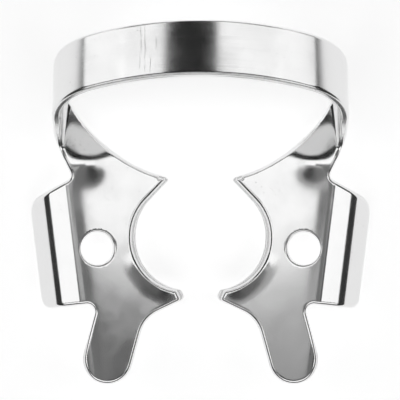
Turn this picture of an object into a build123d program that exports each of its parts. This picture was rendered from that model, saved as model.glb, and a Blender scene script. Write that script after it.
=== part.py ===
from build123d import *
from build123d.topology import topo_explore_connected_faces
from math import asin, atan2, cos, degrees, radians, sin, sqrt, tan
import os

# A rubber dam clamp: one stamped sheet, folded into a bow, two legs and two winged jaws.
# +X is to the side, +Y runs back towards the bow, +Z is up. Millimetres and degrees.
# One half is built at +X and then mirrored.

# Sheet
sheet = 0.65
edge_break = 0.15

# Bow: a strip that leans back, with a wide crown arc and two tighter shoulders
bow_half_width = 11.45
bow_rise = 8.65
crown_radius = 18.0
shoulder_radius = 5.4
bow_width = 4.75
bow_lean = 28.0
bow_front_y = 12.3
bow_top_z = 9.2

# Section of a jaw: ridge along it, slopes to either side, and the wing's folded flange
crest_x = 0.821 * bow_half_width
crest_y = 0.8
toe_in = 7.0
jaw_slope = 14.0
wing_slope = 20.0
flange_slope = 50.0
ridge_handle_in = 0.25
ridge_handle_out = 0.4
ridge_end = 0.95
fold_at = 2.42
fold_radius = 1.8
flange_edge = 3.95

# Tooth opening with its bevelled edge, and the forceps hole
opening_radius = 0.3625 * bow_half_width
opening_x = 0.075 * bow_half_width
opening_y = -0.12
opening_bevel = 0.5
hole_radius = 1.31
hole_x = crest_x - 1.4
hole_y = -1.0

# Outline of one jaw seen from above
back_radius = 11.2
back_arm = 0.2
back_point_x = 0.2 * bow_half_width
front_point_x = 0.1 * bow_half_width
front_arm = 0.68
front_point_lean = 25.0
front_point_round = 0.3
back_point_round = 0.22
front_corner_share = 0.94
front_edge_round = 2.6
neck_x = crest_x + 0.6
neck_y = 4.55
neck_angle = 27.0
neck_round = 0.45
neck_hold = 0.6
root_x = crest_x - 3.4
wing_back_angle = 29.0
wing_back_round = 1.4
wing_front_x = crest_x + 0.9
wing_front_y = -5.55
wing_front_round = 0.9
tongue_x = crest_x - 2.13
tongue_length = 4.14
tongue_radius = 1.93
tongue_splay = 15.5
tongue_root_round = 0.6

# How far the leg, and then the jaw, keep their own direction through the bend between them
leg_hold_front = 1.9
leg_hold_back = 2.6
jaw_hold_front = 1.6
jaw_hold_back = 3.6
outside_share = 0.55

# Directions in the jaw: along it towards the front, and across it outwards
along = Vector(-sin(radians(toe_in)), -cos(radians(toe_in)), 0)
across = Vector(cos(radians(toe_in)), -sin(radians(toe_in)), 0)
up = Vector(0, 0, 1)
crest = Vector(crest_x, crest_y, 0)

# Directions in the bow: along the strip's width, and square to its face at the top
strip = Vector(0, cos(radians(bow_lean)), -sin(radians(bow_lean)))
strip_up = Vector(0, sin(radians(bow_lean)), cos(radians(bow_lean)))
bow_top = Vector(0, bow_front_y, bow_top_z)

reach = 4 * bow_half_width


def heading(angle):
    """A direction in a plane, from its angle."""
    return Vector(cos(radians(angle)), sin(radians(angle)), 0)


def crossing(point_a, way_a, point_b, way_b):
    """Where two lines in a plane meet."""
    turn = way_a.X * way_b.Y - way_a.Y * way_b.X
    gap = point_b - point_a
    return point_a + way_a * ((gap.X * way_b.Y - gap.Y * way_b.X) / turn)


def split(points, share):
    """The two pieces of a Bezier curve cut at a share of its parameter."""
    left, right = [points[0]], [points[-1]]
    row = list(points)
    while len(row) > 1:
        row = [a + (b - a) * share for a, b in zip(row, row[1:])]
        left.append(row[0])
        right.insert(0, row[-1])
    return left, right


def share_at(points, x):
    """The parameter at which a curve that runs outwards reaches x."""
    low, high = 0.0, 1.0
    for _ in range(60):
        middle = (low + high) / 2
        if split(points, middle)[0][-1].X < x:
            low = middle
        else:
            high = middle
    return (low + high) / 2


def through(a, b, c, d):
    """Control points of the Bezier curve that passes four evenly spaced points."""
    second = (a * -5 + b * 18 - c * 9 + d * 2) / 6
    third = (a * 2 - b * 9 + c * 18 - d * 5) / 6
    return [a, second, third, d]


# Section of the jaw, in a plane across it with the ridge's sharp corner at 0, 0
jaw_way = heading(jaw_slope)
wing_way = heading(-wing_slope)
flange_way = heading(-flange_slope)


def under(angle, depth):
    """The step from the top face to the underside of a sheet at a slope."""
    return heading(angle - 90) * depth


ridge_start = crest_x + opening_radius


def ridge_curve(depth):
    """Control points of jaw and ridge at a depth under the top face."""
    start = jaw_way * -ridge_start + under(jaw_slope, depth)
    end = wing_way * ridge_end + under(-wing_slope, depth)
    peak = crossing(start, jaw_way, end, wing_way)
    inside = (peak - start).length / ridge_start
    outside = (end - peak).length / ridge_end
    first = peak - jaw_way * ridge_handle_in * inside
    second = peak + wing_way * ridge_handle_out * outside
    return [start, first, second, end]


def fold_points(depth):
    """Start and end of the fold between wing and flange, and the flange's edge."""
    wing_point = under(-wing_slope, depth)
    flange_point = wing_way * (fold_at / wing_way.X) + under(-flange_slope, depth)
    corner = crossing(wing_point, wing_way, flange_point, flange_way)
    tangent = (fold_radius - depth) * tan(radians((flange_slope - wing_slope) / 2))
    edge = wing_way * (fold_at / wing_way.X)
    edge = edge + flange_way * ((flange_edge - fold_at) / flange_way.X) + under(-flange_slope, depth)
    return corner - wing_way * tangent, corner + flange_way * tangent, edge


def to_space(point, line_start, line_way):
    """A section point carried along the jaw to an upright plane through a line seen from above."""
    base = crest + across * point.X
    spot = crossing(base, along, line_start, line_way)
    return Vector(spot.X, spot.Y, point.Y)


top_ridge = ridge_curve(0)
low_ridge = ridge_curve(sheet)

# Outline of one jaw
neck_way = Vector(-sin(radians(neck_angle)), -cos(radians(neck_angle)), 0)
neck_corner = Vector(neck_x, neck_y, 0)
neck = neck_corner - neck_way * neck_hold
back_centre_y = opening_y + opening_radius + back_arm + back_radius


def on_back(x):
    """The point of the back edge at x."""
    return Vector(x, back_centre_y - sqrt(back_radius**2 - x**2), 0)


root = on_back(root_x)
root_way = Vector(back_centre_y - root.Y, root_x, 0) * (-1 / back_radius)
join_way = (root - neck).normalized()
wing_back_way = heading(-wing_back_angle)
wing_front = Vector(wing_front_x, wing_front_y, 0)
tongue_centre = Vector(tongue_x, wing_front_y - tongue_length, 0)
tongue_way = heading(tongue_splay - 90)
tongue_out = tongue_centre + heading(tongue_splay) * tongue_radius
tongue_in = tongue_centre - heading(tongue_splay) * tongue_radius
tongue_tip = tongue_centre + tongue_way * tongue_radius
tongue_root = crossing(wing_front, across, tongue_out, tongue_way)
front_point_y = opening_y - opening_radius - front_arm
front_point = Vector(front_point_x, front_point_y, 0)
front_corner = tongue_in - tongue_way * (front_corner_share * tongue_length)
front_end = crossing(front_point, front_corner - front_point, Vector(), Vector(0, 1, 0))
back_end = on_back(0)

# Upright axis of the jaw's own slope, for the bevel and the hole
jaw_normal = across * -sin(radians(jaw_slope)) + up * cos(radians(jaw_slope))


def on_jaw(x, y):
    """The point of the jaw's flat top face above x, y."""
    distance = (Vector(x, y, 0) - crest).dot(across)
    return Vector(x, y, distance * tan(radians(jaw_slope)))


opening_spot = on_jaw(opening_x, opening_y) - jaw_normal * sheet


def in_opening(x, y):
    """A point seen from above, in the plane of the opening and from its centre."""
    step = Vector(x - opening_spot.X, y - opening_spot.Y, 0)
    return Vector(step.dot(along), step.dot(across) / cos(radians(jaw_slope)), 0)


# The opening runs out between the points: square at the front, along a tangent at the back
far = 2 * opening_radius
front_lean = tan(radians(front_point_lean))
opening_front = [
    in_opening(front_point_x + front_lean * (opening_y - front_point_y), opening_y),
    in_opening(front_point_x - front_lean * far, front_point_y - far),
    in_opening(-far, front_point_y - far),
    in_opening(-far, opening_y),
]
back_tip = in_opening(back_point_x, on_back(back_point_x).Y)
tangent_way = (back_tip * -1).rotate(Axis.Z, degrees(asin(opening_radius / back_tip.length))).normalized()
tangent_length = sqrt(back_tip.length**2 - opening_radius**2)
opening_back = [
    Vector(),
    back_tip + tangent_way * tangent_length,
    back_tip - tangent_way * opening_radius,
    in_opening(-far, opening_y + far),
]

with BuildPart() as jaw:
    with BuildSketch(Plane(crest - along * reach, x_dir=across, z_dir=along)):
        with BuildLine():
            top_fold, top_flange, top_edge = fold_points(0)
            low_fold, low_flange, low_edge = fold_points(sheet)
            Bezier(*top_ridge)
            Line(top_ridge[-1], top_fold)
            TangentArc(top_fold, top_flange, tangent=wing_way)
            Polyline(top_flange, top_edge, low_edge, low_flange)
            TangentArc(low_flange, low_fold, tangent=flange_way * -1)
            Line(low_fold, low_ridge[-1])
            Bezier(*low_ridge)
            Line(low_ridge[0], top_ridge[0])
        make_face()
    extrude(amount=2 * reach)
    with BuildSketch(Plane.XY.offset(-reach)) as outline:
        with BuildLine():
            wing_back_far = neck_corner + wing_back_way * 2 * flange_edge
            wing_front_far = wing_front + across * 2 * flange_edge
            Polyline(neck, neck_corner, wing_back_far, wing_front_far, tongue_root, tongue_out)
            ThreePointArc(tongue_out, tongue_tip, tongue_in)
            Polyline(tongue_in, front_corner, front_end, back_end)
            ThreePointArc(back_end, on_back(root_x / 2), root)
            Line(root, neck)
        make_face()
        for corner, radius in (
            (neck_corner, neck_round),
            (tongue_root, tongue_root_round),
            (front_corner, front_edge_round),
        ):
            fillet(outline.vertices().sort_by_distance(corner)[0], radius)
    extrude(amount=2 * reach, mode=Mode.INTERSECT)
    # Tooth opening, leaning outwards so that its edge is bevelled, and the forceps hole
    opening_way = jaw_normal * sheet + across * opening_bevel
    with BuildSketch(Plane(opening_spot - opening_way, x_dir=along, z_dir=jaw_normal)):
        Circle(opening_radius)
        Polygon(*opening_front, align=None)
        Polygon(*opening_back, align=None)
    extrude(amount=opening_way.length * 4, dir=opening_way, mode=Mode.SUBTRACT)
    with Locations(Plane(on_jaw(hole_x, hole_y), x_dir=along, z_dir=jaw_normal)):
        Cylinder(hole_radius, 6 * sheet, mode=Mode.SUBTRACT)


# Bow: one half of the arch, as wide as the strip
crown_angle = degrees(asin((bow_half_width - shoulder_radius) / (crown_radius - shoulder_radius)))
crown_way = heading(-crown_angle)
crown_centre = Vector(0, -crown_radius, 0)


def arch_points(depth):
    """Crown, end of the crown arc, end of the shoulder and foot, at a depth under the outer face."""
    crown = Vector(0, -depth, 0)
    joint = crown_centre + heading(90 - crown_angle) * (crown_radius - depth)
    shoulder_centre = crown_centre + heading(90 - crown_angle) * (crown_radius - shoulder_radius)
    side = shoulder_centre + Vector(shoulder_radius - depth, 0, 0)
    foot = Vector(bow_half_width - depth, -bow_rise, 0)
    return crown, joint, side, foot


outer_arch = arch_points(0)
inner_arch = arch_points(sheet)

with BuildPart() as bow:
    with BuildSketch(Plane(bow_top, x_dir=Vector(1, 0, 0), z_dir=strip * -1)):
        with BuildLine():
            for crown, joint, side, foot in (outer_arch, inner_arch):
                TangentArc(crown, joint, tangent=Vector(1, 0, 0))
                TangentArc(joint, side, tangent=crown_way)
                Line(side, foot)
            Line(outer_arch[-1], inner_arch[-1])
            Line(inner_arch[0], outer_arch[0])
        make_face()
    extrude(amount=-bow_width)


def leg_face_points(foot, extra, curve):
    """Control points of one face of the leg, from the bow's foot to the jaw, front to back."""
    front = bow_top + Vector(foot.X, 0, 0) + strip_up * foot.Y
    feet = [front + strip * (bow_width * n / 3) for n in range(4)]
    leg_holds = [leg_hold_front + (leg_hold_back - leg_hold_front) * n / 3 + extra for n in range(4)]
    legs = [foot_point - strip_up * hold for foot_point, hold in zip(feet, leg_holds)]
    neck_at = share_at(curve, (neck - crest).dot(across))
    outer_piece = split(curve, neck_at)[0]
    root_at = share_at(outer_piece, (root - crest).dot(across))
    piece = list(reversed(split(outer_piece, root_at)[1]))
    ends = [to_space(point, neck, join_way) for point in piece]
    samples = []
    for n in range(4):
        before, after = split(piece, n / 3)
        tangent = (after[1] - after[0]) if n < 3 else (before[3] - before[2])
        way = (neck_way * (3 - n) + root_way * n).normalized()
        rise = tangent.Y / tangent.X
        way = along * way.dot(along) + (across + up * rise) * way.dot(across)
        hold = jaw_hold_front + (jaw_hold_back - jaw_hold_front) * n / 3 + extra
        samples.append(to_space(after[0], neck, join_way) - way * hold)
    return [feet, legs, through(*samples), ends]


inside = leg_face_points(inner_arch[-1], 0, top_ridge)
outside = leg_face_points(outer_arch[-1], outside_share * sheet, low_ridge)


def column(points, n):
    """One long edge of a leg's face."""
    return Edge.make_bezier(*[row[n] for row in points])


feet_cap = Wire.make_polygon([inside[0][0], inside[0][3], outside[0][3], outside[0][0]])
jaw_cap = Wire(
    [
        Edge.make_bezier(*inside[3]),
        Edge.make_line(inside[3][3], outside[3][3]),
        Edge.make_bezier(*outside[3]),
        Edge.make_line(outside[3][0], inside[3][0]),
    ]
)
leg_faces = [
    Face.make_bezier_surface(inside),
    Face.make_bezier_surface(outside),
    Face.make_surface_from_curves(column(inside, 0), column(outside, 0)),
    Face.make_surface_from_curves(column(inside, 3), column(outside, 3)),
    Face(feet_cap),
    Face(jaw_cap),
]
leg = Solid(Shell(leg_faces))


def is_sharp(edge, solid):
    """Whether the two faces at an edge turn by more than a fair angle there."""
    faces = [Face(face) for face in topo_explore_connected_faces(edge, solid)]
    if len(faces) != 2:
        return False
    spot = edge @ 0.5
    return faces[0].normal_at(spot).get_angle(faces[1].normal_at(spot)) > 25


def sharp_edges(part):
    """Edges to be worked on: all the sharp ones but those in the middle plane."""
    edges = part.edges().filter_by(lambda edge: is_sharp(edge, part))
    return edges.filter_by(lambda edge: (edge @ 0.5).X > 1e-3)


def crossways(edge):
    """Whether an edge runs through the sheet's thickness."""
    return edge.length < 1.6 * sheet and abs((edge % 0.5).Z) > 0.5


with BuildPart() as half:
    add(jaw.part)
    add(leg)
    add(bow.part)
    # Corners of the flange, then the points at either end of the opening
    flange_middle = (top_edge + low_edge) / 2
    for line_start, line_way, radius in (
        (neck_corner, wing_back_way, wing_back_round),
        (wing_front, across, wing_front_round),
    ):
        corner = to_space(flange_middle, line_start, line_way)
        fillet(half.edges().sort_by_distance(corner)[0], radius)
    points = sharp_edges(half.part).filter_by(crossways).sort_by(Axis.X)
    fillet(points[:2], front_point_round)
    fillet(half.edges().sort_by_distance(points[2].center())[0], back_point_round)
    # The punched rims are broken on both faces, and so are those of the hole
    chamfer(sharp_edges(half.part), edge_break)


def lower_hull(part):
    """The under-line of a part seen from the side, as points from front to back."""
    spots = sorted((spot.Y, spot.Z) for spot in part.tessellate(0.02)[0])
    hull = []
    for spot in spots:
        while len(hull) > 1:
            (y0, z0), (y1, z1) = hull[-2:]
            if (y1 - y0) * (spot[1] - z0) > (z1 - z0) * (spot[0] - y0):
                break
            hull.pop()
        hull.append(spot)
    return hull


# The clamp lies as its weight leaves it: on the two flanges and the bottoms of the two legs
weight_y = half.part.center(CenterOf.MASS).Y
hull = lower_hull(half.part)
front, back = [pair for pair in zip(hull, hull[1:]) if pair[0][0] <= weight_y <= pair[1][0]][0]
rest_tilt = degrees(atan2(back[1] - front[1], back[0] - front[0]))
lying = half.part.rotate(Axis.X, -rest_tilt)
box = lying.bounding_box()

with BuildPart() as clamp:
    add(lying.moved(Location((0, -box.center().Y, -box.min.Z))))
    mirror(about=Plane.YZ)

os.makedirs("parts", exist_ok=True)
clamp.part.label = "clamp"
export_step(clamp.part, "parts/clamp.step")
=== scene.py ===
import math

import bmesh
import bpy
import numpy as np
from mathutils import Matrix, Vector
from mathutils.kdtree import KDTree


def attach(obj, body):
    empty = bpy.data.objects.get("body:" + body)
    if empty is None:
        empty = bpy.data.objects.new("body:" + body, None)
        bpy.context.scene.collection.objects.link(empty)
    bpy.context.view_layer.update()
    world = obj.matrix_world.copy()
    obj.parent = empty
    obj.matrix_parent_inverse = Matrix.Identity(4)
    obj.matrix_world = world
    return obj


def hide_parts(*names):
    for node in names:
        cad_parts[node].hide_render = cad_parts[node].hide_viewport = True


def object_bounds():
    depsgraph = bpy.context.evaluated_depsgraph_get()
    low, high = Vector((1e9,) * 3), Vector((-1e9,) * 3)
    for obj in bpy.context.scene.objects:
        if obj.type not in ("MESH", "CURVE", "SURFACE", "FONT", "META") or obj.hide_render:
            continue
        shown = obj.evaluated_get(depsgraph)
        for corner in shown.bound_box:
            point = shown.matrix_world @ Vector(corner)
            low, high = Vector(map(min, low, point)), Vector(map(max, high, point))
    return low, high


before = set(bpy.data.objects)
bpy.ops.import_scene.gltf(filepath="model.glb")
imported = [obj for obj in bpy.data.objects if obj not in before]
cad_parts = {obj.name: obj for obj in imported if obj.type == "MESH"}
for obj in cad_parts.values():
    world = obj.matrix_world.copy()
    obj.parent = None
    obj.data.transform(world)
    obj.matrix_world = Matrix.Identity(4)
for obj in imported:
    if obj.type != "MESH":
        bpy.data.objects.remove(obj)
cad_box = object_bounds()

# A rubber dam clamp of polished spring steel, seen square on its jaws over a pale floor.
# Places are in the clamp's own millimetres: +X right, +Y back towards the bow, +Z towards the camera.

MM = 0.001

# How the clamp lies on the floor: leaned forward about X, then shifted
LYING_TILT = 7.39796
LYING_SHIFT = Vector((0, -2.76745, 3.22596))
LYING_TURN = Matrix.Rotation(math.radians(-LYING_TILT), 3, "X")

# Camera, in millimetres and pixels of the picture
CAMERA_DISTANCE = 250.0
PICTURE_SIZE = 400.0
PIXELS_PER_MM = 12.8
PICTURE_MIDDLE = Vector((-0.04, 2.77, 0))
SENSOR = 36.0
NEAR_CLIP = 0.01
FAR_CLIP = 20.0

# Brightness of the lit panels, and of the dim ones that the tongues show
PANEL_LEVEL = 1.18
LEFT_DIM_LEVEL = 0.32
RIGHT_DIM_LEVEL = 0.05

# Overhead panels, in millimetres from the camera's side: left, right, front and back edges, and brightness
OVERHEAD = 200
OVERHEAD_PANELS = (
    ("left_jaw_panel", -130, -46, 2, 72, PANEL_LEVEL),
    ("right_jaw_panel", 46, 130, 2, 72, PANEL_LEVEL),
    ("middle_panel", -46, 46, 22, 72, PANEL_LEVEL),
    ("left_wing_panel", -315, -132, -70, 72, PANEL_LEVEL),
    ("right_wing_panel", 132, 270, -70, 72, PANEL_LEVEL),
    ("left_bow_panel", -330, -108, 275, 520, PANEL_LEVEL),
    ("right_bow_panel", 50, 330, 275, 520, PANEL_LEVEL),
    ("front_panel", -260, 260, -420, -130, PANEL_LEVEL),
    ("left_tongue_panel", -130, 0, -18, 1, LEFT_DIM_LEVEL),
    ("right_tongue_panel", 46, 130, -18, 1, RIGHT_DIM_LEVEL),
)

# Upright panels beside the bow: how far out they stand and their lower edges, then their middle and length
SIDE_PANELS = (("left_side_panel", -340, 35), ("right_side_panel", 340, 70))
SIDE_MIDDLE = 392
SIDE_LENGTH = 275

# Room: its level round about and straight above, the share left behind, and where each of them changes
ROOM_LEVELS = (0.05, 0.22)
ROOM_BEHIND = 0.3
ROOM_ABOVE_FROM = (0.9, 0.985)
ROOM_BEHIND_FROM = (0.1, 0.5)

# Floor: its own shade, the lift to white that camera and reflections see, and where that fades, in metres
FLOOR_SHADE = 0.85
FLOOR_GLOW = 0.58
FLOOR_FADES = (0.03, 0.12)
FLOOR_RADIUS = 3.0
FLOOR_SIDES = 96

# Sheet, bow and section of a jaw, in millimetres and degrees
SHEET = 0.65
BOW_HALF_WIDTH = 11.45
BOW_RISE = 8.65
CROWN_RADIUS = 18.0
SHOULDER_RADIUS = 5.4
BOW_WIDTH = 4.75
BOW_LEAN = 28.0
BOW_TOP = np.array((0, 12.3, 9.2))
CREST = np.array((0.821 * BOW_HALF_WIDTH, 0.8))
TOE_IN = 7.0
JAW_SLOPE = 14.0
WING_SLOPE = 20.0
FLANGE_SLOPE = 50.0
RIDGE_HANDLE_IN = 0.25
RIDGE_HANDLE_OUT = 0.4
RIDGE_END = 0.95
FOLD_AT = 2.42
FOLD_RADIUS = 1.8
FLANGE_EDGE = 3.95

# Tooth opening, and the leg between bow and jaw
OPENING_Y = -0.12
OPENING_RADIUS = 0.3625 * BOW_HALF_WIDTH
BACK_RADIUS = 11.2
BACK_ARM = 0.2
BACK_CENTRE = np.array((0, OPENING_Y + OPENING_RADIUS + BACK_ARM + BACK_RADIUS))
NECK_CORNER = np.array((CREST[0] + 0.6, 4.55))
NECK_ANGLE = 27.0
NECK_HOLD = 0.6
ROOT_X = CREST[0] - 3.4
LEG_HOLD = np.linspace(1.9, 2.6, 4)
JAW_HOLD = np.linspace(1.6, 3.6, 4)
OUTSIDE_SHARE = 0.55

# Tumbled rims: their round on the jaws, then on the bow and at the forceps holes, and where those begin
JAW_RIM = 0.3
FINE_RIM = 0.17
BOW_LEVELS = (0.5, 3.0)
HOLE = np.array((CREST[0] - 1.4, -1.0))
HOLE_REACH = 1.75

# How near a point counts as on a face or by a rim, and the least lean of a wall that sets a rim's width
ON_FACE = 0.014
RIM_REACH = 0.55
LEAST_LEAN = 0.1

# Places formed by hand: a low dome at the root of the leg, and a lip beside the front of the opening
DOME_RISE = 0.2
DOME_SPOT = np.array((8.9, 5.7))
DOME_REACH = 1.25
LIP_RISE = 0.09
LIP_CENTRE = np.array((0.075 * BOW_HALF_WIDTH, OPENING_Y))
LIP_RADIUS = 4.7
LIP_WIDTH = 1.2
LIP_ANGLES = (-82.0, -60.0, -32.0, -14.0)

# Steel: its tone and that of its pits, its roughness from best to dullest, and what marks add to that
STEEL_TONE = (0.8, 0.8, 0.8, 1)
PIT_TONE = (0.25, 0.25, 0.25, 1)
POLISH = (0.1, 0.14)
GRAIN_ROUGHNESS = 0.03
BRUSH_ROUGHNESS = 0.06
RUB_ROUGHNESS = 0.2

# Depth of the satin grain in metres, and how many times deeper the brushing is
GRAIN_DEPTH = 4e-7
BRUSH_DEPTH = 8.0

# Size of a brushed streak in millimetres, and the heights between which the brushing sets in
BRUSH_STREAK = (9.0, 0.12, 9.0)
BRUSHED_FROM = (4.5, 7.0)

# Rub marks across the bow: how fine they are each way, and where the patch begins and ends along X
RUB_FINENESS = (6.0, 0.35, 0.35)
RUB_BEGINS = (-4.9, -4.3)
RUB_ENDS = (-3.7, -3.1)

# Features per millimetre of the grain, the dull patches, the pits and the clusters that pits keep to
GRAIN_FINENESS = 7.0
PATCH_FINENESS = 0.55
PIT_FINENESS = 9.0
CLUSTER_FINENESS = 0.8

# Fineness of the skin: longest edges on the faces and by the rims, and steps along the formula faces
WELD = 1e-7
LONGEST_EDGE = 0.36
RIM_EDGE = 0.17
DIVIDE_ROUNDS = 7
RIM_ROUNDS = 3
LEG_GRID = 220
LEG_BESIDE = 0.15
SECTION_STEPS = 800
FOLD_STEPS = 80
HALVINGS = 50
NO_LENGTH = 1e-12
FACE, RIM, WALL = 0, 1, 2


def heading(angle):
    """A direction in a plane, from its angle in degrees."""
    return np.array((math.cos(math.radians(angle)), math.sin(math.radians(angle))))


def crossing(point_a, way_a, point_b, way_b):
    """Where two lines in a plane meet."""
    turn = way_a[0] * way_b[1] - way_a[1] * way_b[0]
    gap = point_b - point_a
    return point_a + way_a * ((gap[0] * way_b[1] - gap[1] * way_b[0]) / turn)


def length_along(vectors, ways):
    """Length of each vector along its own direction."""
    return np.einsum("ij,ij->i", vectors, ways)


def unit(vectors):
    """Vectors brought to length one."""
    return vectors / np.maximum(np.linalg.norm(vectors, axis=1), NO_LENGTH)[:, None]


def search_tree(spots):
    """A tree that finds the nearest of some places."""
    tree = KDTree(len(spots))
    for index, spot in enumerate(spots):
        tree.insert(spot, index)
    tree.balance()
    return tree


def bezier(points, shares):
    """Points of a Bezier curve, or rows of one, at shares of its parameter."""
    row = [np.multiply.outer(np.ones(len(shares)), point) for point in points]
    shares = shares.reshape((-1,) + (1,) * (row[0].ndim - 1))
    while len(row) > 1:
        row = [a + (b - a) * shares for a, b in zip(row, row[1:])]
    return row[0]


JAW_LENGTHWAYS = -heading(90 - TOE_IN)
ACROSS = heading(-TOE_IN)
JAW_WAY = heading(JAW_SLOPE)
WING_WAY = heading(-WING_SLOPE)
FLANGE_WAY = heading(-FLANGE_SLOPE)
STRIP = np.array((0, *heading(-BOW_LEAN)))
STRIP_UP = np.array((0, *heading(90 - BOW_LEAN)))
NECK_WAY = -heading(90 - NECK_ANGLE)
NECK = NECK_CORNER - NECK_WAY * NECK_HOLD
ROOT = BACK_CENTRE + np.array((ROOT_X, -math.sqrt(BACK_RADIUS**2 - ROOT_X**2)))
ROOT_WAY = np.array((ROOT[1] - BACK_CENTRE[1], -ROOT_X)) / BACK_RADIUS
JOIN_WAY = (ROOT - NECK) / np.linalg.norm(ROOT - NECK)


def ridge_curve(depth):
    """Control points of a jaw's section from the opening over its ridge, at a depth in the sheet."""
    ridge_start = CREST[0] + OPENING_RADIUS
    start = JAW_WAY * -ridge_start + heading(JAW_SLOPE - 90) * depth
    end = WING_WAY * RIDGE_END + heading(-WING_SLOPE - 90) * depth
    peak = crossing(start, JAW_WAY, end, WING_WAY)
    inside = np.linalg.norm(peak - start) / ridge_start
    outside = np.linalg.norm(end - peak) / RIDGE_END
    first = peak - JAW_WAY * RIDGE_HANDLE_IN * inside
    second = peak + WING_WAY * RIDGE_HANDLE_OUT * outside
    return [start, first, second, end]


def fold_line(depth):
    """The round fold from wing to flange, and the flange beyond its edge."""
    bend = WING_WAY * (FOLD_AT / WING_WAY[0]) + heading(-FLANGE_SLOPE - 90) * depth
    corner = crossing(heading(-WING_SLOPE - 90) * depth, WING_WAY, bend, FLANGE_WAY)
    radius = FOLD_RADIUS - depth
    tangent = radius * math.tan(math.radians((FLANGE_SLOPE - WING_SLOPE) / 2))
    centre = corner - WING_WAY * tangent + heading(-WING_SLOPE - 90) * radius
    turns = np.linspace(90 - WING_SLOPE, 90 - FLANGE_SLOPE, FOLD_STEPS)
    fold = [centre + heading(turn) * radius for turn in turns]
    return fold + [fold[-1] + FLANGE_WAY * (FLANGE_EDGE - FOLD_AT) / FLANGE_WAY[0]]


def near_jaw(points, depth):
    """How far points stand out of the jaw's face at a depth, and that face's normals there."""
    outward = 1 if depth == 0 else -1
    section = np.vstack([bezier(ridge_curve(depth), np.linspace(0, 1, SECTION_STEPS)), fold_line(depth)])
    steps = np.diff(section, axis=0)
    middles = (section[1:, 0] + section[:-1, 0]) / 2
    flat = points[:, :2] - CREST
    side = flat @ ACROSS
    slope = np.interp(side, middles, steps[:, 1] / steps[:, 0])
    lean = 1 / np.sqrt(1 + slope**2)
    normals = np.column_stack([np.outer(-slope * lean, ACROSS), lean])
    distances = (points[:, 2] - np.interp(side, section[:, 0], section[:, 1])) * lean
    beyond = (points[:, :2] - NECK) @ np.array((-JOIN_WAY[1], JOIN_WAY[0])) < -ON_FACE
    distances[beyond] = np.inf
    return distances * outward, normals * outward


def near_bow(points, depth):
    """How far points stand out of the bow's face at a depth, and that face's normals there."""
    outward = 1 if depth == 0 else -1
    level = (points - BOW_TOP) @ STRIP_UP
    flat = np.column_stack([points[:, 0], level])
    reach = CROWN_RADIUS - SHOULDER_RADIUS
    share = (BOW_HALF_WIDTH - SHOULDER_RADIUS) / reach
    crown = np.array((0, -CROWN_RADIUS))
    shoulder = crown + np.array((share, math.sqrt(1 - share**2))) * reach
    from_crown = flat - crown
    from_shoulder = flat - shoulder
    from_shoulder[:, 1] = np.maximum(from_shoulder[:, 1], 0)
    crown_far = np.linalg.norm(from_crown, axis=1)
    shoulder_far = np.linalg.norm(from_shoulder, axis=1)
    in_crown = from_crown[:, 0] < share * crown_far
    far = np.where(in_crown, crown_far, shoulder_far)
    ways = np.where(in_crown[:, None], from_crown, from_shoulder) / far[:, None]
    distances = far - np.where(in_crown, CROWN_RADIUS, SHOULDER_RADIUS) + depth
    distances[level < -BOW_RISE - ON_FACE] = np.inf
    normals = np.outer(ways[:, 0], (1, 0, 0)) + np.outer(ways[:, 1], STRIP_UP)
    return distances * outward, normals * outward


def split(points, share):
    """The two pieces of a Bezier curve cut at a share of its parameter."""
    left, right = [points[0]], [points[-1]]
    row = list(points)
    while len(row) > 1:
        row = [a + (b - a) * share for a, b in zip(row, row[1:])]
        left.append(row[0])
        right.insert(0, row[-1])
    return left, right


def share_at(points, x):
    """The parameter at which a curve that runs outwards reaches x."""
    low, high = 0.0, 1.0
    for _ in range(HALVINGS):
        middle = (low + high) / 2
        if split(points, middle)[0][-1][0] < x:
            low = middle
        else:
            high = middle
    return (low + high) / 2


def on_join(point):
    """A section point carried along the jaw to where the leg joins it."""
    spot = crossing(CREST + ACROSS * point[0], JAW_LENGTHWAYS, NECK, JOIN_WAY)
    return np.array((*spot, point[1]))


def leg_patch(depth):
    """Control points of one face of the leg, from the bow's foot to the jaw and from front to back."""
    extra = OUTSIDE_SHARE * depth
    foot = BOW_TOP + np.array((BOW_HALF_WIDTH - SHEET + depth, 0, 0)) - STRIP_UP * BOW_RISE
    feet = [foot + STRIP * BOW_WIDTH * share for share in np.linspace(0, 1, 4)]
    legs = [point - STRIP_UP * (hold + extra) for point, hold in zip(feet, LEG_HOLD)]
    outer = split(ridge_curve(depth), share_at(ridge_curve(depth), (NECK - CREST) @ ACROSS))[0]
    piece = split(outer, share_at(outer, (ROOT - CREST) @ ACROSS))[1][::-1]
    samples = []
    for n, share in enumerate(np.linspace(0, 1, 4)):
        before, after = split(piece, share)
        tangent = after[1] - after[0] if n < 3 else before[3] - before[2]
        way = NECK_WAY * (1 - share) + ROOT_WAY * share
        way = way / np.linalg.norm(way)
        rise = tangent[1] / tangent[0] * (way @ ACROSS)
        samples.append(on_join(after[0]) - np.array((*way, rise)) * (JAW_HOLD[n] + extra))
    a, b, c, d = samples
    jaws = [a, (a * -5 + b * 18 - c * 9 + d * 2) / 6, (a * 2 - b * 9 + c * 18 - d * 5) / 6, d]
    return np.array([feet, legs, jaws, [on_join(point) for point in piece]])


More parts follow.
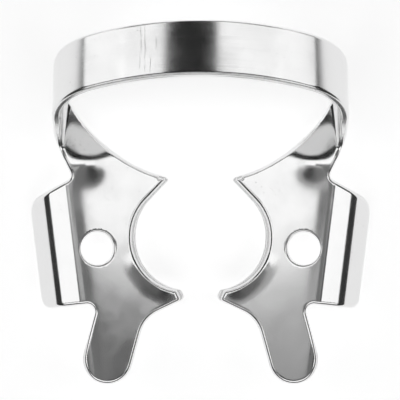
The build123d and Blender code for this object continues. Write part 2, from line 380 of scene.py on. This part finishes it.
def near_leg(points, depth):
    """How far points stand out of the leg's face at a depth, and that face's normals there."""
    shares = np.linspace(0, 1, LEG_GRID)
    patch = leg_patch(depth)
    columns = bezier(patch, shares)
    grid = bezier(columns.transpose(1, 0, 2), shares)
    ways = np.cross(np.gradient(grid, axis=0), np.gradient(grid, axis=1)).reshape(-1, 3)
    ways /= np.linalg.norm(ways, axis=1)[:, None]
    faces_in = ways[0, 0] < 0
    ways *= 1 if faces_in == (depth == 0) else -1
    spots = grid.reshape(-1, 3)
    tree = search_tree(spots)
    nearest = np.array([tree.find(point)[1] for point in points])
    gaps = points - spots[nearest]
    normals = ways[nearest]
    distances = length_along(gaps, normals)
    beside = np.linalg.norm(gaps - normals * distances[:, None], axis=1)
    distances[beside > LEG_BESIDE] = np.inf
    return distances, normals


def nearest_face(points):
    """How far points stand out of the nearest rolled face of the sheet, and its normals there."""
    half = points * np.where(points[:, :1] < 0, (-1, 1, 1), (1, 1, 1))
    found = [near(half, depth) for near in (near_jaw, near_bow, near_leg) for depth in (0, SHEET)]
    distances = np.array([distance for distance, _ in found])
    best = np.abs(distances).argmin(axis=0)
    index = np.arange(len(points))
    offsets = distances[best, index]
    offsets[~np.isfinite(offsets)] = -SHEET / 2
    normals = np.array([normal for _, normal in found])[best, index]
    normals[points[:, 0] < 0, 0] *= -1
    return offsets, normals


def read_welded(mesh):
    """A mesh's points, welded and in the clamp's own millimetres, and its triangles' corners."""
    welded = bmesh.new()
    welded.from_mesh(mesh)
    bmesh.ops.remove_doubles(welded, verts=welded.verts, dist=WELD)
    welded.verts.index_update()
    raw = np.array([vert.co for vert in welded.verts])
    corners = np.array([[vert.index for vert in face.verts] for face in welded.faces])
    welded.free()
    return (raw / MM - np.array(LYING_SHIFT)) @ np.array(LYING_TURN), corners


def face_kinds(points, corners):
    """Whether each triangle is of a rolled face, a broken rim or a cut wall."""
    offsets, _ = nearest_face(points)
    touching = (np.abs(offsets) < ON_FACE)[corners].sum(axis=1)
    return np.where(touching == 3, FACE, np.where(touching == 0, WALL, RIM))


def wall_tree(points, corners, kinds):
    """A search tree of the points on cut walls, those points and the walls' normals there."""
    corners = corners[kinds == WALL]
    spots = points[corners]
    areas = np.cross(spots[:, 1] - spots[:, 0], spots[:, 2] - spots[:, 0])
    total = np.zeros_like(points)
    for corner in range(3):
        np.add.at(total, corners[:, corner], areas)
    used = np.unique(corners)
    return search_tree(points[used]), points[used], unit(total[used])


def cut_triangles(corners, kinds, middles):
    """Triangles cut at the middle points of their halved edges; an edge left whole has none."""
    cuts = (middles >= 0).sum(axis=1)
    whole = cuts == 0
    parts, part_kinds = [corners[whole]], [kinds[whole]]

    def keep(chosen, *pieces):
        for piece in pieces:
            parts.append(np.column_stack(piece)[chosen])
            part_kinds.append(kinds[chosen])

    for turn in range(3):
        a, b, c = np.roll(corners, -turn, axis=1).T
        ab, bc, ca = np.roll(middles, -turn, axis=1).T
        keep((cuts == 1) & (ab >= 0), (a, ab, c), (ab, b, c))
        keep((cuts == 2) & (ca < 0), (ab, b, bc), (a, ab, bc), (a, bc, c))
    keep(cuts == 3, (a, ab, ca), (ab, b, bc), (ca, bc, c), (ab, bc, ca))
    return np.vstack(parts), np.concatenate(part_kinds)


def divide(points, corners, kinds, longest, rounds, tree=None):
    """Halves edges that are too long, everywhere or only by the cut walls that a tree holds."""
    for _ in range(rounds):
        sides = np.sort(corners[:, [[0, 1], [1, 2], [2, 0]]], axis=2).reshape(-1, 2)
        edges, places = np.unique(sides, axis=0, return_inverse=True)
        ends = points[edges]
        halved = np.flatnonzero(np.linalg.norm(ends[:, 1] - ends[:, 0], axis=1) > longest)
        centres = ends[halved].mean(axis=1)
        if tree:
            by_wall = np.array([tree.find(centre)[2] < RIM_REACH for centre in centres], bool)
            halved, centres = halved[by_wall], centres[by_wall]
        middles = np.full(len(edges), -1)
        middles[halved] = len(points) + np.arange(len(halved))
        points = np.vstack([points, centres])
        corners, kinds = cut_triangles(corners, kinds, middles[places.reshape(-1, 3)])
    return points, corners, kinds


def rim_rounds(spots):
    """The round of the rim at places on the cut walls."""
    half = np.column_stack([np.abs(spots[:, 0]), spots[:, 1]])
    rounds = np.interp(spots[:, 2], BOW_LEVELS, (JAW_RIM, FINE_RIM))
    at_hole = np.linalg.norm(half - HOLE, axis=1) < HOLE_REACH
    return np.where(at_hole, FINE_RIM, rounds)


def lay_on_faces(points, walls):
    """Points moved onto the true faces and round rims of the sheet, with their normals."""
    offsets, ways = nearest_face(points)
    on_sheet = np.abs(offsets) < ON_FACE
    offsets[~on_sheet] = np.minimum(offsets[~on_sheet], 0)
    points = points - ways * np.where(on_sheet, offsets, 0)[:, None]
    offsets[on_sheet] = 0
    tree, wall_spots, wall_ways = walls
    found = [tree.find(point) for point in points]
    nearest = np.array([index for _, index, _ in found])
    gaps = np.array([gap for _, _, gap in found])
    wall_way = wall_ways[nearest]
    outwards = wall_way - ways * length_along(wall_way, ways)[:, None]
    lean = np.maximum(np.linalg.norm(outwards, axis=1), LEAST_LEAN)
    inside = length_along(wall_spots[nearest] - points, wall_way) / lean
    rounds = rim_rounds(wall_spots[nearest])
    to_wall = np.clip(rounds - inside, 0, rounds)
    to_face = np.clip(rounds + offsets, 0, rounds)
    normals = np.where(on_sheet[:, None], ways, wall_way)
    rim = (gaps < RIM_REACH) & (to_wall > 0) & (to_face > 0)
    spokes = (unit(outwards) * to_wall[:, None] + ways * to_face[:, None])[rim]
    normals[rim] = unit(spokes)
    points[rim] += normals[rim] * (rounds[rim] - np.linalg.norm(spokes, axis=1))[:, None]
    return points, normals


def ease(values, low, high):
    """Nothing below one value, one above another, and a smooth step between."""
    share = np.clip((values - low) / (high - low), 0, 1)
    return share * share * (3 - 2 * share)


def hand_formed(spots):
    """How far the sheet is lifted at places seen from above."""
    half = np.column_stack([np.abs(spots[:, 0]), spots[:, 1]])
    dome = np.exp(-((half - DOME_SPOT) ** 2).sum(axis=1) / DOME_REACH**2)
    arm = half - LIP_CENTRE
    turn = np.degrees(np.arctan2(arm[:, 1], arm[:, 0]))
    window = ease(turn, *LIP_ANGLES[:2]) - ease(turn, *LIP_ANGLES[2:])
    off = np.clip((np.linalg.norm(arm, axis=1) - LIP_RADIUS) / LIP_WIDTH, 0, 1)
    return DOME_RISE * dome + LIP_RISE * window * (1 - off) ** 2


def form_by_hand(points, normals):
    """Points and normals after the sheet has been lifted."""
    step = 1e-4
    slopes = []
    for way in np.eye(3)[:2] * step:
        slopes.append((hand_formed(points + way) - hand_formed(points - way)) / (2 * step))
    lean = np.column_stack([*slopes, np.zeros(len(points))])
    lifted = points + np.outer(hand_formed(points), (0, 0, 1))
    return lifted, unit(normals - normals[:, 2:] * lean)


def build_skin(clamp):
    """The clamp's own mesh, divided finely and laid on the true faces and rims of the bent sheet."""
    points, corners = read_welded(clamp.data)
    cut = divide(points, corners, face_kinds(points, corners), LONGEST_EDGE, DIVIDE_ROUNDS)
    cut = divide(*cut, RIM_EDGE, RIM_ROUNDS, wall_tree(*cut)[0])
    points, normals = form_by_hand(*lay_on_faces(cut[0], wall_tree(*cut)))
    turn = np.array(LYING_TURN)
    lying = np.clip((points @ turn.T + np.array(LYING_SHIFT)) * MM, *cad_box)
    mesh = bpy.data.meshes.new("clamp_skin")
    mesh.from_pydata(lying.tolist(), [], cut[1].tolist())
    mesh.polygons.foreach_set("use_smooth", np.ones(len(mesh.polygons), bool))
    mesh.update()
    mesh.normals_split_custom_set_from_vertices((normals @ turn.T).tolist())
    return link(bpy.data.objects.new("clamp_skin", mesh))


def flat_view(x, y, z):
    """A place given from the camera's side, in millimetres, as a place in the frame."""
    return (LYING_TURN @ Vector((x, y, z)) + LYING_SHIFT) * MM


def link(obj):
    """Puts an object in the scene."""
    bpy.context.scene.collection.objects.link(obj)
    return obj


def build_camera():
    """A long lens straight above the jaws."""
    data = bpy.data.cameras.new("camera")
    data.sensor_width = SENSOR
    data.lens = SENSOR * CAMERA_DISTANCE * PIXELS_PER_MM / PICTURE_SIZE
    data.clip_start = NEAR_CLIP
    data.clip_end = FAR_CLIP
    camera = link(bpy.data.objects.new("camera", data))
    camera.location = flat_view(PICTURE_MIDDLE.x, PICTURE_MIDDLE.y, CAMERA_DISTANCE)
    camera.rotation_euler = (math.radians(-LYING_TILT), 0, 0)
    bpy.context.scene.camera = camera


def soft_panel(name, middle, target, width, height, radiance):
    """An area lamp of even brightness, turned to a target; all in millimetres from the camera's side."""
    data = bpy.data.lights.new(name, "AREA")
    data.shape = "RECTANGLE"
    data.size = width * MM
    data.size_y = height * MM
    data.energy = radiance * math.pi * data.size * data.size_y
    lamp = link(bpy.data.objects.new(name, data))
    lamp.location = flat_view(*middle)
    way = flat_view(*target) - lamp.location
    lamp.rotation_euler = way.to_track_quat("-Z", "Y").to_euler()


def build_lights():
    """Soft panels overhead with dark gaps between them, and one on either side of the bow."""
    for name, left, right, front, back, radiance in OVERHEAD_PANELS:
        middle = ((left + right) / 2, (front + back) / 2)
        soft_panel(name, (*middle, OVERHEAD), (*middle, 0), right - left, back - front, radiance)
    for name, x, low in SIDE_PANELS:
        level = (low + OVERHEAD) / 2
        ends = ((x, SIDE_MIDDLE, level), (0, SIDE_MIDDLE, level))
        soft_panel(name, *ends, SIDE_LENGTH, OVERHEAD - low, PANEL_LEVEL)


def build_world():
    """A dim room, lighter straight above and darker behind."""
    world = bpy.data.worlds.new("room")
    bpy.context.scene.world = world
    world.use_nodes = True
    nodes = world.node_tree.nodes
    links = world.node_tree.links
    nodes.clear()
    place = nodes.new("ShaderNodeTexCoord")
    parts = nodes.new("ShaderNodeSeparateXYZ")
    links.new(place.outputs["Generated"], parts.inputs[0])
    above = smooth_range(nodes, links, parts.outputs["Z"], ROOM_ABOVE_FROM, ROOM_LEVELS)
    behind = smooth_range(nodes, links, parts.outputs["Y"], ROOM_BEHIND_FROM, (1.0, ROOM_BEHIND))
    background = nodes.new("ShaderNodeBackground")
    links.new(calculate(nodes, links, "MULTIPLY", above, behind), background.inputs["Strength"])
    out = nodes.new("ShaderNodeOutputWorld")
    links.new(background.outputs[0], out.inputs["Surface"])


def smooth_range(nodes, links, value, source, target):
    """A value eased from one range to another."""
    ramp = nodes.new("ShaderNodeMapRange")
    ramp.interpolation_type = "SMOOTHSTEP"
    for name, number in zip(("From Min", "From Max", "To Min", "To Max"), (*source, *target)):
        ramp.inputs[name].default_value = number
    links.new(value, ramp.inputs["Value"])
    return ramp.outputs["Result"]


def calculate(nodes, links, operation, *values):
    """One step of arithmetic on sockets and plain numbers."""
    step = nodes.new("ShaderNodeMath")
    step.operation = operation
    for socket, value in zip(step.inputs, values):
        if isinstance(value, bpy.types.NodeSocket):
            links.new(value, socket)
        else:
            socket.default_value = value
    return step.outputs[0]


def pale_matt():
    """A matt pale surface that keeps shadows, lifted to white for camera and reflections alike."""
    material = bpy.data.materials.new("pale_floor")
    material.use_nodes = True
    nodes = material.node_tree.nodes
    links = material.node_tree.links
    nodes.clear()
    diffuse = nodes.new("ShaderNodeBsdfDiffuse")
    diffuse.inputs["Color"].default_value = (FLOOR_SHADE, FLOOR_SHADE, FLOOR_SHADE, 1)
    path = nodes.new("ShaderNodeLightPath")
    seen = path.outputs["Is Camera Ray"]
    for kind in ("Is Glossy Ray", "Is Transmission Ray"):
        seen = calculate(nodes, links, "MAXIMUM", seen, path.outputs[kind])
    place = nodes.new("ShaderNodeTexCoord")
    distance = nodes.new("ShaderNodeVectorMath")
    distance.operation = "LENGTH"
    links.new(place.outputs["Object"], distance.inputs[0])
    lift = smooth_range(nodes, links, distance.outputs["Value"], FLOOR_FADES, (FLOOR_GLOW, 0.0))
    glow = nodes.new("ShaderNodeEmission")
    links.new(calculate(nodes, links, "MULTIPLY", seen, lift), glow.inputs["Strength"])
    total = nodes.new("ShaderNodeAddShader")
    links.new(diffuse.outputs[0], total.inputs[0])
    links.new(glow.outputs[0], total.inputs[1])
    out = nodes.new("ShaderNodeOutputMaterial")
    links.new(total.outputs[0], out.inputs["Surface"])
    return material


def build_floor():
    """One plain pale floor under the clamp, which belongs to the stage."""
    mesh = bpy.data.meshes.new("floor")
    turns = [math.tau * n / FLOOR_SIDES for n in range(FLOOR_SIDES)]
    corners = [(FLOOR_RADIUS * math.cos(turn), FLOOR_RADIUS * math.sin(turn), 0) for turn in turns]
    mesh.from_pydata(corners, [], [range(FLOOR_SIDES)])
    mesh.materials.append(pale_matt())
    link(bpy.data.objects.new("floor", mesh))


def noise(nodes, links, place, scale, detail):
    """A cloudy pattern, as a value."""
    texture = nodes.new("ShaderNodeTexNoise")
    texture.inputs["Scale"].default_value = scale
    texture.inputs["Detail"].default_value = detail
    links.new(place, texture.inputs["Vector"])
    return texture.outputs["Fac"]


def brushed_lines(nodes, links, spot, on_bow):
    """Lines along the bow's strip, close together across its width."""
    stretched = nodes.new("ShaderNodeMapping")
    stretched.vector_type = "TEXTURE"
    stretched.inputs["Rotation"].default_value = (-math.radians(BOW_LEAN + LYING_TILT), 0, 0)
    stretched.inputs["Scale"].default_value = BRUSH_STREAK
    links.new(spot, stretched.inputs["Vector"])
    lines = noise(nodes, links, stretched.outputs["Vector"], 1.0, 4.0)
    return calculate(nodes, links, "MULTIPLY", lines, on_bow)


def rub_marks(nodes, links, spot, x, on_bow):
    """A patch of short marks across the bow, left of its middle."""
    upright = nodes.new("ShaderNodeMapping")
    upright.inputs["Scale"].default_value = RUB_FINENESS
    links.new(spot, upright.inputs["Vector"])
    streaks = noise(nodes, links, upright.outputs["Vector"], 1.0, 2.0)
    marks = smooth_range(nodes, links, streaks, (0.56, 0.68), (0.0, 1.0))
    begins = smooth_range(nodes, links, x, RUB_BEGINS, (0.0, 1.0))
    ends = smooth_range(nodes, links, x, RUB_ENDS, (1.0, 0.0))
    for mask in (begins, ends, on_bow):
        marks = calculate(nodes, links, "MULTIPLY", marks, mask)
    return marks


def rolling_pits(nodes, links, spot):
    """Tiny pits left from rolling, in a few clusters."""
    dots = noise(nodes, links, spot, PIT_FINENESS, 1.0)
    dots = smooth_range(nodes, links, dots, (0.7, 0.76), (0.0, 1.0))
    clusters = noise(nodes, links, spot, CLUSTER_FINENESS, 1.0)
    clusters = smooth_range(nodes, links, clusters, (0.55, 0.65), (0.0, 1.0))
    return calculate(nodes, links, "MULTIPLY", dots, clusters)


def polished_steel():
    """Tumbled and polished spring steel, brushed lengthways on the bow."""
    material = bpy.data.materials.new("polished_steel")
    material.use_nodes = True
    nodes = material.node_tree.nodes
    links = material.node_tree.links
    shader = nodes["Principled BSDF"]
    shader.inputs["Metallic"].default_value = 1.0
    place = nodes.new("ShaderNodeTexCoord")
    in_mm = nodes.new("ShaderNodeVectorMath")
    in_mm.operation = "SCALE"
    in_mm.inputs["Scale"].default_value = 1 / MM
    links.new(place.outputs["Object"], in_mm.inputs[0])
    spot = in_mm.outputs[0]
    parts = nodes.new("ShaderNodeSeparateXYZ")
    links.new(spot, parts.inputs[0])

    on_bow = smooth_range(nodes, links, parts.outputs["Z"], BRUSHED_FROM, (0.0, 1.0))
    brushed = brushed_lines(nodes, links, spot, on_bow)
    rubs = rub_marks(nodes, links, spot, parts.outputs["X"], on_bow)
    pits = rolling_pits(nodes, links, spot)
    grain = noise(nodes, links, spot, GRAIN_FINENESS, 3.0)

    # Broad patches are duller, and every mark roughens the polish
    patches = noise(nodes, links, spot, PATCH_FINENESS, 2.0)
    rough = smooth_range(nodes, links, patches, (0.3, 0.7), POLISH)
    for mark, amount in ((grain, GRAIN_ROUGHNESS), (brushed, BRUSH_ROUGHNESS), (rubs, RUB_ROUGHNESS)):
        rough = calculate(nodes, links, "MULTIPLY_ADD", mark, amount, rough)
    links.new(rough, shader.inputs["Roughness"])

    tone = nodes.new("ShaderNodeMix")
    tone.data_type = "RGBA"
    tone.inputs["A"].default_value = STEEL_TONE
    tone.inputs["B"].default_value = PIT_TONE
    links.new(pits, tone.inputs["Factor"])
    links.new(tone.outputs["Result"], shader.inputs["Base Color"])

    height = calculate(nodes, links, "MULTIPLY_ADD", brushed, BRUSH_DEPTH, grain)
    height = calculate(nodes, links, "SUBTRACT", height, pits)
    bump = nodes.new("ShaderNodeBump")
    bump.inputs["Distance"].default_value = GRAIN_DEPTH
    links.new(height, bump.inputs["Height"])
    links.new(bump.outputs["Normal"], shader.inputs["Normal"])
    return material


def dress_clamp():
    """The clamp's finished skin, which stands for the CAD solid."""
    skin = build_skin(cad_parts["clamp"])
    skin.data.materials.append(polished_steel())
    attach(skin, "root")
    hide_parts("clamp")


bpy.context.scene.view_settings.view_transform = "Standard"
build_camera()
build_lights()
build_world()
build_floor()
dress_clamp()
